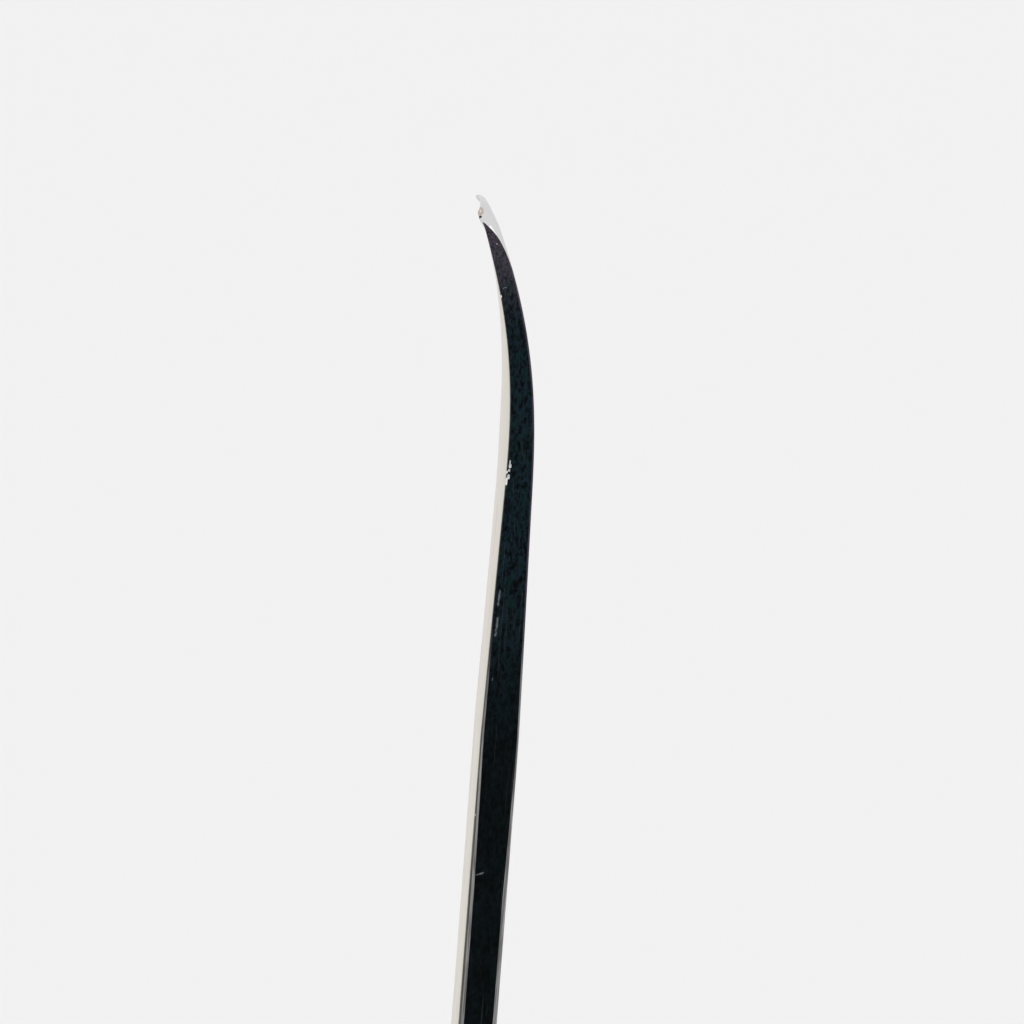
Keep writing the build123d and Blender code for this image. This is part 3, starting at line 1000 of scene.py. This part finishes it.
def through(kind, inputs, output=0, **settings):
    """Sends flows through a new node of the tree that they are in, and gives one of its outputs."""
    inputs = dict(inputs)
    tree = next(value.tree for value in inputs.values() if isinstance(value, Flow))
    return Flow(add(tree, kind, inputs, **settings)[output])


def maths(operation, *values):
    return through("Math", enumerate(values), operation=operation)


print("what a flow can do:", [name.strip("_") for name, what in vars(Flow).items() if callable(what)])

# %% Helpers for the recipes


def noise(where, scale, detail=3.0, roughness=0.5):
    inputs = {"Vector": where, "Scale": scale, "Detail": detail, "Roughness": roughness}
    return through("TexNoise", inputs, "Fac")


def streaks(where, scales, detail, roughness=0.5, turn=0.0):
    """Noise with its own scale each way, so that it is drawn out where the scale is small."""
    drawn_out = through("Mapping", {"Vector": where, "Scale": scales, "Rotation": (0, 0, turn)})
    return noise(drawn_out, 1.0, detail, roughness)


def eased(value, low, high):
    """0 below low and 1 above high, or the other way round where low is the larger."""
    inputs = {"Value": value, "From Min": low, "From Max": high}
    return through("MapRange", inputs, interpolation_type="SMOOTHSTEP")


def ranged(value, low, high):
    """Turns 0 to 1 into low to high."""
    return through("MapRange", {"Value": value, "To Min": low, "To Max": high})


def mixed(share, first, second):
    """The first colour where the share is 0, and the second where it is 1."""
    return through("Mix", {0: share, 6: first, 7: second}, 2, data_type="RGBA")


def relief(height, depth, under=None):
    """A bump whose height of 1 stands for a depth in metres, on top of another if there is one."""
    inputs = {"Height": height, "Distance": depth, "Strength": 1.0}
    if under is not None:
        inputs["Normal"] = under
    return through("Bump", inputs)


def noted(where, name):
    """A number kept on the points of the piece."""
    return Flow(add(where.tree, "Attribute", attribute_name=name)["Fac"])


def split(vector):
    """The three parts of a vector."""
    return [Flow(part) for part in add(vector.tree, "SeparateXYZ", {0: vector})]


def from_point(point, where):
    return through("VectorMath", {0: where, 1: point}, operation="SUBTRACT")


def dot(vector, direction):
    """How far a vector goes in a direction."""
    return through("VectorMath", {0: vector, 1: direction}, "Value", operation="DOT_PRODUCT")


def blade_place(where):
    """The distances along and up the blade, and those two with the distance out of it as one vector."""
    from_heel = from_point(HEEL, where)
    parts = [dot(from_heel, direction) for direction in (TO_TOE, TO_TOP, OUT_OF_FACE)]
    return parts[0], parts[1], through("CombineXYZ", enumerate(parts))


COAT_ROUGHNESS = 0.15


def finish(name, recipe, specular=0.5, coat=0.0):
    """A material whose recipe turns the place on the piece into colour, roughness and relief."""
    material = bpy.data.materials.new(name)
    material.use_nodes = True
    tree = material.node_tree
    shader = tree.nodes["Principled BSDF"]
    shader.inputs["Specular IOR Level"].default_value = specular
    shader.inputs["Coat Weight"].default_value = coat
    shader.inputs["Coat Roughness"].default_value = COAT_ROUGHNESS
    where = Flow(add(tree, "TexCoord")["Object"])
    for socket, value in zip(("Base Color", "Roughness", "Normal"), recipe(where)):
        tree.links.new(value.socket, shader.inputs[socket])
    print(name, "has", len(tree.nodes), "nodes")
    return material


def wear(piece_or_node, material):
    """Gives a piece, or a node carried over from the structure, its finish."""
    thing = bpy.data.objects[piece_or_node] if isinstance(piece_or_node, str) else piece_or_node
    thing.data.materials.clear()
    thing.data.materials.append(material)


# %% [markdown]
# ## Paint on the blade
#
# The faces are sprayed off-white over carbon, and the paint carries faint streaks along the blade from
# hand sanding. The toe is a cooler, lighter grey. At the heel the white ends in a slanted line, and the
# hosel goes on in black. Wear shows three ways: rubber smears from pucks, small chips near the rim that
# bare a darker ground, and the knock at the toe. Each is one more colour mixed over the last, in the order
# in which they came to the real blade, and each keeps to its own part of it by the distances along and up.

# %% The white, and where it ends
OFF_WHITE = (0.670, 0.635, 0.562, 1)
WARM_WHITE = (0.700, 0.635, 0.580, 1)
GREENISH_WHITE = (0.635, 0.638, 0.545, 1)
ICE_GRIME = (0.540, 0.530, 0.430, 1)
TOE_GREY = (0.680, 0.672, 0.680, 1)
GRIME_TOP, GRIME_FULL = 30 * MM, 4 * MM
TOE_PAINT_START, TOE_PAINT_FULL = 270 * MM, 287 * MM
BREAK_SLANT = 0.55
BREAK_AT = 12 * MM
BREAK_SOFTNESS = 0.2 * MM
BREAK_STRIPES = [(6 * MM, 1.5 * MM), (0.5 * MM, 0.7 * MM)]  # where, and half the width


def white_paint(along, up, place):
    """Off-white with streaks along the blade, dirtier beside the ice and cooler at the toe."""
    streak = streaks(place, (9, 260, 260), 4.0, 0.6)
    cloud = streaks(place, (14, 55, 55), 2.0)
    base = mixed(eased(streak, 0.42, 0.68), OFF_WHITE, WARM_WHITE)
    base = mixed(eased(cloud, 0.42, 0.64) * 0.6, base, GREENISH_WHITE)
    dirt = eased(up, GRIME_TOP, GRIME_FULL) * ranged(streak, 0.2, 1.2)
    base = mixed(dirt * 0.8, base, ICE_GRIME)
    return mixed(eased(along, TOE_PAINT_START, TOE_PAINT_FULL), base, TOE_GREY)


def heel_break(along, up):
    """1 in the black beyond the slanted end of the white, and 1 on the two thin stripes beside it."""
    slant = along - up * BREAK_SLANT
    black = eased(slant, BREAK_AT + BREAK_SOFTNESS, BREAK_AT - BREAK_SOFTNESS)
    stripes = [maths("COMPARE", slant, at, half_width) for at, half_width in BREAK_STRIPES]
    return black, maths("MAXIMUM", *stripes)


print("the white ends", round(BREAK_AT / MM), "mm from the heel corner at the ice edge")

# %% The knock at the toe
BLACK_PAINT = (0.012, 0.013, 0.015, 1)
BARE_RESIN = (0.40, 0.29, 0.20, 1)
CHALK = (0.80, 0.72, 0.64, 1)
RAGGED_SCALE = 1600.0


def spot(place, distance, in_from_face, length, width):
    """1 inside a ragged oval on the rim: the distances from its centre along the rim and out of the face
    are each divided by half the oval's size that way, and the oval is where the sum of their squares is
    under 1. Sizes are in mm, and the centre's distance along the rim in metres."""
    point = rim(distance)[0]
    ahead = rim(distance + MM)[0] - point
    out = middle(*point) + half_thickness(*point) + swelling(*point) - in_from_face * MM
    away = from_point((*point, out), place)
    lengthwise = dot(away, (*(ahead / np.linalg.norm(ahead) / (length / 2 * MM)), 0))
    crosswise = split(away)[2] / (width / 2 * MM)
    ragged = ranged(noise(place, RAGGED_SCALE), -0.5, 0.5)
    return eased(lengthwise * lengthwise + crosswise * crosswise + ragged, 1.15, 0.85)


def knock_marks(place, colour):
    """Bare brown resin round the knock at the toe, chalky where it was struck, and a dark pit below it."""
    bare = spot(place, KNOCK - 0.1 * MM, 0.60, 5.2, 2.0) * 0.60
    colour = mixed(bare, colour, BARE_RESIN)
    colour = mixed(spot(place, KNOCK, 0.85, 1.5, 0.45), colour, CHALK)
    return mixed(spot(place, KNOCK - 2.9 * MM, 0.45, 1.05, 0.80), colour, BLACK_PAINT)


print("the knock is", round((KNOCK - TOE_IN) / MM, 1), "mm round the toe's arc")

# %% The blade's paint
RUBBER = (0.09, 0.09, 0.095, 1)
GROUND = (0.035, 0.035, 0.038, 1)
STRIPE_GREY = (0.30, 0.31, 0.33, 1)
SMEAR_LOW, SMEAR_HIGH = 6 * MM, 20 * MM
SMEAR_FADES, SMEAR_ENDS = 200 * MM, 260 * MM
CHIPS_LOW, CHIPS_HIGH = 24 * MM, 30 * MM
FEWER_CHIPS_INWARDS = 420.0


def paint_recipe(where):
    """The white and the black, then rubber, then chips, then the knock. The orange-peel relief of sprayed
    paint lies under the edges of the chips."""
    along, up, place = blade_place(where)
    black, stripe = heel_break(along, up)
    colour = mixed(black, white_paint(along, up, place), BLACK_PAINT)
    colour = mixed(stripe, colour, STRIPE_GREY)
    rub = eased(streaks(place, (70, 260, 260), 5.0, 0.65, turn=0.8), 0.52, 0.70)
    colour = mixed(black * (rub * 0.35), colour, RUBBER)
    smear = eased(streaks(place, (38, 90, 90), 5.0, 0.65, turn=0.5), 0.54, 0.76)
    smear = smear * eased(up, SMEAR_LOW, SMEAR_HIGH) * (1.0 - eased(along, SMEAR_FADES, SMEAR_ENDS))
    colour = mixed(smear * 0.45, colour, RUBBER)
    chips = noise(place, 330.0, 4.0, 0.6) - noted(where, "to_rim") * FEWER_CHIPS_INWARDS
    chips = eased(chips, 0.60, 0.63) * eased(up, CHIPS_LOW, CHIPS_HIGH)
    colour = knock_marks(place, mixed(chips, colour, GROUND))
    rough = maths("MAXIMUM", ranged(noise(place, 45.0), 0.30, 0.48), chips * 0.75)
    peel = relief(noise(place, 700.0, 2.0), 0.02 * MM)
    return colour, rough, relief(1.0 - chips, 0.15 * MM, peel)


blade_paint = finish("blade_paint", paint_recipe, specular=0.4)
for piece in (forehand_skin, backhand_skin, toe_edge, top_edge, heel_edge):
    wear(piece, blade_paint)

# %% [markdown]
# ## The black strip
#
# The strip is hard black plastic. Sliding on ice and concrete has given it fine scratches along its
# length and a mottled bloom of blue and green. Its rounded corners are painted pale from near the heel, a
# painted highlight where they catch the side lights. Near the toe it turns a little purple, and past the
# slanted line it is painted like the toe, with a painted highlight at the line: a sliver of bright white,
# the glint of the line's edge. The numbers noted on its points say where a mark is, and noise makes the
# mark's edge ragged.

# %% The strip's corners, with painted highlights
WORN_DARK = (0.105, 0.096, 0.082, 1)
CORNER_HIGHLIGHT_GREY = (0.34, 0.33, 0.33, 1)
CORNER_HIGHLIGHT_MAUVE = (0.080, 0.058, 0.085, 1)
HIGHLIGHT_FROM, HIGHLIGHT_FULL = 0.0, 30 * MM
MAUVE_FROM, MAUVE_FULL = 165 * MM, 195 * MM


def painted_corner_highlights(along, place, colour):
    """Both corners painted pale from near the heel, a painted highlight where the rounded corners catch the
    side lights, with a dark line on the hollow face's side of the nearer one. Further on, the back corner's
    painted highlight is a faint mauve, and the hollow face's corner stays black."""
    corner, side = noted(place, "corner"), noted(place, "way_across")
    streak = eased(streaks(place, (90, 1500, 1500), 4.0, 0.6), 0.36, 0.62)
    near_face = eased(side, 0.3, 0.4)
    pale = mixed(near_face * eased(corner, 0.62, 0.48), CORNER_HIGHLIGHT_GREY, WORN_DARK)
    far_on = eased(along, MAUVE_FROM, MAUVE_FULL)
    # Painted highlight on the rounded corners, streaked along the strip.
    highlit = maths("LESS_THAN", corner, 0.93) * eased(along, HIGHLIGHT_FROM, HIGHLIGHT_FULL)
    highlit = highlit * ranged(streak, 0.45, 1.0)
    kept = 1.0 - near_face * far_on
    return mixed(highlit * kept, colour, mixed(far_on, pale, CORNER_HIGHLIGHT_MAUVE))


print("the back corner turns mauve", round(MAUVE_FROM / MM), "mm along")

# %% The black strip's finish
EDGE_BLACK = (0.0004, 0.0014, 0.0016, 1)
EDGE_BLUE = (0.0080, 0.0200, 0.0340, 1)
EDGE_GREEN = (0.0035, 0.0230, 0.0240, 1)
EDGE_PURPLE = (0.0640, 0.0400, 0.0660, 1)
CHIP_WHITE = (0.84, 0.85, 0.86, 1)
SCUFF_GREY = (0.22, 0.25, 0.27, 1)
# The bright white below is a painted highlight: the glint along the line where the black ends at the toe.
GLINT_WHITE = (0.93, 0.93, 0.94, 1)
SCOURED_FROM, SCOURED_FULL = 150 * MM, 215 * MM
PURPLE_FROM, PURPLE_FULL = 262 * MM, 290 * MM
GLINT_WIDEST = 1.9  # in mm, at a share of GLINT_MIDDLE of the way across
GLINT_MIDDLE = 0.08
GLINT_NARROWS = 18.0


def black_recipe(where):
    """A mottled black, then the corners' painted highlights, hair lines, scuffs and chips, then the toe's
    paint with a painted highlight along its line, a white sliver whose width is the widest less a multiple
    of the square of the way from it."""
    along, up, place = blade_place(where)
    grain = streaks(place, (700, 1500, 1500), 4.0, 0.7)
    blot = streaks(place, (420, 1100, 1100), 4.0, 0.75)
    scoured = ranged(eased(along, SCOURED_FROM, SCOURED_FULL), 0.22, 1.0)
    blue = eased(grain, 0.42, 0.60) * scoured
    green = eased(blot, 0.47, 0.61) * (scoured * 0.8)
    colour = mixed(green, mixed(blue, EDGE_BLACK, EDGE_BLUE), EDGE_GREEN)
    purple = eased(along, PURPLE_FROM, PURPLE_FULL) * eased(grain, 0.38, 0.60)
    colour = painted_corner_highlights(along, place, mixed(purple, colour, EDGE_PURPLE))
    hair = eased(streaks(place, (22, 3200, 3200), 2.0, 0.4), 0.66, 0.74)
    colour = mixed(hair * 0.10, colour, SCUFF_GREY)
    ragged = ranged(noise(place, 1500.0, 2.0), 0.25, 1.0)
    scuff = noted(where, "scratch") * ragged
    colour = mixed(eased(scuff, 0.25, 0.75), colour, SCUFF_GREY)
    chip = eased(noted(where, "chip") * ragged, 0.20, 0.45)
    colour = mixed(chip, colour, CHIP_WHITE)
    past = noted(where, "past_black")
    painted = eased(past, -0.05, 0.05)
    colour = mixed(painted, colour, white_paint(along, up, place))
    # Painted highlight: a bright white sliver just past the line where the black ends.
    from_middle = noted(where, "way_across") - GLINT_MIDDLE
    narrowing = from_middle * from_middle * GLINT_NARROWS
    glint = painted * maths("LESS_THAN", past, GLINT_WIDEST - narrowing)
    colour = knock_marks(place, mixed(glint, colour, GLINT_WHITE))
    marked = maths("MAXIMUM", maths("MAXIMUM", chip, scuff), hair)
    lines = relief(grain + hair, 0.012 * MM)
    return colour, ranged(grain, 0.36, 0.56) + marked * 0.25, relief(1.0 - scuff, 0.04 * MM, lines)


wear(running_edge, finish("black_edge", black_recipe, specular=0.16))

# %% [markdown]
# ## The shaft's carbon
#
# Under a satin lacquer the carbon's twill just shows: bundles of fibre cross two over and two under, so
# that each bundle catches the light differently. That sheen is painted: the bundles on top are a lighter
# grey. Whole numbers of bundles each way, added together and counted in fours, say which lies on top. The
# corners are rubbed duller, and a few plain stripes cross the shaft.

# %% The carbon's finish
BUNDLE = 2.2 * MM
CARBON_DARK = (0.0095, 0.0100, 0.0110, 1)
CARBON_SHEEN = (0.0240, 0.0250, 0.0270, 1)
DUST = (0.16, 0.16, 0.165, 1)
WIDE_STRIPE, THIN_STRIPE = 4 * MM, 1.5 * MM
STRIPES = [
    (JOINT_Z - 60 * MM, WIDE_STRIPE),
    (JOINT_Z - 72 * MM, THIN_STRIPE),
    (620 * MM, WIDE_STRIPE),
    (632 * MM, THIN_STRIPE),
]


def twill(round_it, up_it):
    """1 where the bundles that go up the shaft lie on top, and a bulge across whichever is on top."""
    columns, rows = round_it / BUNDLE, up_it / BUNDLE
    count = maths("FLOOR", columns) + maths("FLOOR", rows)
    on_top = maths("LESS_THAN", maths("FLOORED_MODULO", count, 4.0), 1.5)
    bulges = [maths("SINE", maths("FRACT", way) * pi) for way in (columns, rows)]
    return on_top, through("Mix", {0: on_top, 2: bulges[1], 3: bulges[0]}, data_type="FLOAT")


def carbon(stripes=(), lacquer=0.34, twill_sheen=1.0):
    """A recipe for carbon. stripes gives heights and half widths of pale bands round the shaft."""

    def recipe(where):
        x, y, z = split(where)
        on_top, bulge = twill(x + y, z)
        drift = streaks(where, (60, 60, 4), 3.0)
        # Painted sheen: the bundles on top are painted a lighter grey, for the light they catch.
        sheen = on_top * ranged(drift, 0.5 * twill_sheen, twill_sheen)
        colour = mixed(sheen, CARBON_DARK, CARBON_SHEEN)
        for height, half_width in stripes:
            colour = mixed(maths("COMPARE", z, height, half_width), colour, STRIPE_GREY)
        rub = eased(streaks(where, (140, 140, 9), 5.0, 0.65), 0.60, 0.74) * 0.30
        colour = mixed(rub, colour, DUST)
        rough = ranged(drift, lacquer - 0.06, lacquer + 0.10) + rub
        weave = relief(bulge, 0.03 * MM)
        return colour, rough, relief(noise(where, 500.0, 2.0), 0.01 * MM, weave)

    return recipe


wear(shaft_tube, finish("shaft_finish", carbon(STRIPES), coat=0.3))
wear(hosel_shell, finish("hosel_finish", carbon(lacquer=0.28, twill_sheen=0.6), coat=0.4))
wear(joint_wrap, finish("bare_carbon", carbon(lacquer=0.50), specular=0.4))

# %% [markdown]
# ## Cotton tape
#
# Cotton tape is a plain weave: each thread goes over one and under one, so the relief is the product of
# two sines of the distances along and across the ribbon. Hands have left it grey where they rub most,
# which is on top of each turn and at the corners of the shaft.

# %% The tape's finish
THREAD = 0.52 * MM
COTTON = (0.78, 0.765, 0.73, 1)
COTTON_SHADE = (0.52, 0.505, 0.475, 1)
GRIME = (0.17, 0.155, 0.14, 1)
WOBBLE = 0.1 * MM
GREY_BORDER = 1.6 * MM


def cotton_recipe(where):
    """The threads' sines, and grime that gathers in clouds, in the palm's places and along the edges."""
    surface = Flow(add(where.tree, "UVMap", uv_map="surface")[0])
    run, across, _ = split(surface)
    wobble = ranged(noise(surface, 260.0, 2.0), -WOBBLE, WOBBLE)
    waves = [maths("SINE", (way + wobble) * (pi / THREAD)) for way in (run, across)]
    weave = ranged(waves[0] * waves[1], 0.35, 0.65)
    thread = maths("ABSOLUTE", waves[0]) * maths("ABSOLUTE", waves[1])
    colour = mixed(thread * 0.8, COTTON_SHADE, COTTON)
    dirt = streaks(where, (55, 55, 40), 6.0, 0.62) + ranged(noise(where, 9.0, 2.0), -0.10, 0.14)
    edge = maths("ABSOLUTE", across - TAPE_WIDTH / 2)
    edge = eased(edge, TAPE_WIDTH / 2 - GREY_BORDER, TAPE_WIDTH / 2)
    dirt = eased(dirt, 0.46, 0.78) + edge * 0.35
    colour = mixed(dirt * 0.42, colour, GRIME)
    cloth = relief(weave, 0.12 * MM)
    return colour, ranged(dirt, 0.92, 0.74), relief(noise(surface, 90.0), 0.10 * MM, cloth)


cotton = finish("white_tape", cotton_recipe, specular=0.2)
wear(grip_tape, cotton)
wear(knob_tape, cotton)

# %% [markdown]
# ## The plug, and what is inside
#
# The plug is grained black plastic. The glue, the foams, the filler and the inner carbon only show when
# the stick is taken apart, so each has the plain look of its raw material: two tones and a grain, or
# rounded cells. Two short recipes with different sizes and colours do for all of them.

# %% Plastic, glue, foam and filler
PLASTIC = (0.012, 0.012, 0.013, 1), (0.03, 0.03, 0.032, 1)
GLUE = (0.42, 0.34, 0.18, 1), (0.56, 0.47, 0.28, 1)
FOAM = (0.42, 0.30, 0.22, 1), (0.72, 0.58, 0.46, 1)
FILLER = (0.10, 0.10, 0.11, 1), (0.24, 0.24, 0.25, 1)
FOAM_CELL = 0.9 * MM


def speckled(dark, light, scale, roughness, depth):
    """A recipe for a material of two tones: noise of one size mixes them and raises the surface."""

    def recipe(where):
        fleck = noise(where, scale, 5.0, 0.6)
        colour = mixed(eased(fleck, 0.38, 0.66), dark, light)
        rough = ranged(noise(where, scale / 6, 2.0), roughness - 0.08, roughness + 0.08)
        return colour, rough, relief(fleck, depth)

    return recipe


def celled(dark, light, cell, depth):
    """A recipe for foam: rounded cells, with painted shade in the sunken gaps between them."""

    def recipe(where):
        gap = through("TexVoronoi", {"Vector": where, "Scale": 1 / cell}, "Distance")
        # Painted shade: the gaps are sunk by the relief and painted darker.
        colour = mixed(eased(gap, 0.2, 0.7), light, dark)
        return colour, ranged(gap, 0.8, 0.95), relief(gap, -depth)

    return recipe


wear(butt_plug, finish("plug_plastic", speckled(*PLASTIC, 1400.0, 0.5, 0.04 * MM)))
glue = finish("adhesive", speckled(*GLUE, 300.0, 0.3, 0.03 * MM))
foam = finish("core_foam", celled(*FOAM, FOAM_CELL, 0.2 * MM))
filler = finish("heel_filler", speckled(*FILLER, 900.0, 0.6, 0.06 * MM))
inner_carbon = finish("inner_carbon", carbon(lacquer=0.55), specular=0.4)
INNER = {
    "plug_adhesive": glue,
    "tenon_adhesive": glue,
    "hosel_tenon": inner_carbon,
    "core_bridge": inner_carbon,
    "hosel_core": foam,
    "lower_core": foam,
    "upper_core": foam,
    "heel_block": filler,
}
for name, material in INNER.items():
    wear(name, material)
print("finishes:", len(bpy.data.materials))

# %% [markdown]
# ## The finished stick
#
# The surface may only stand proud by the thickness of a fabric.
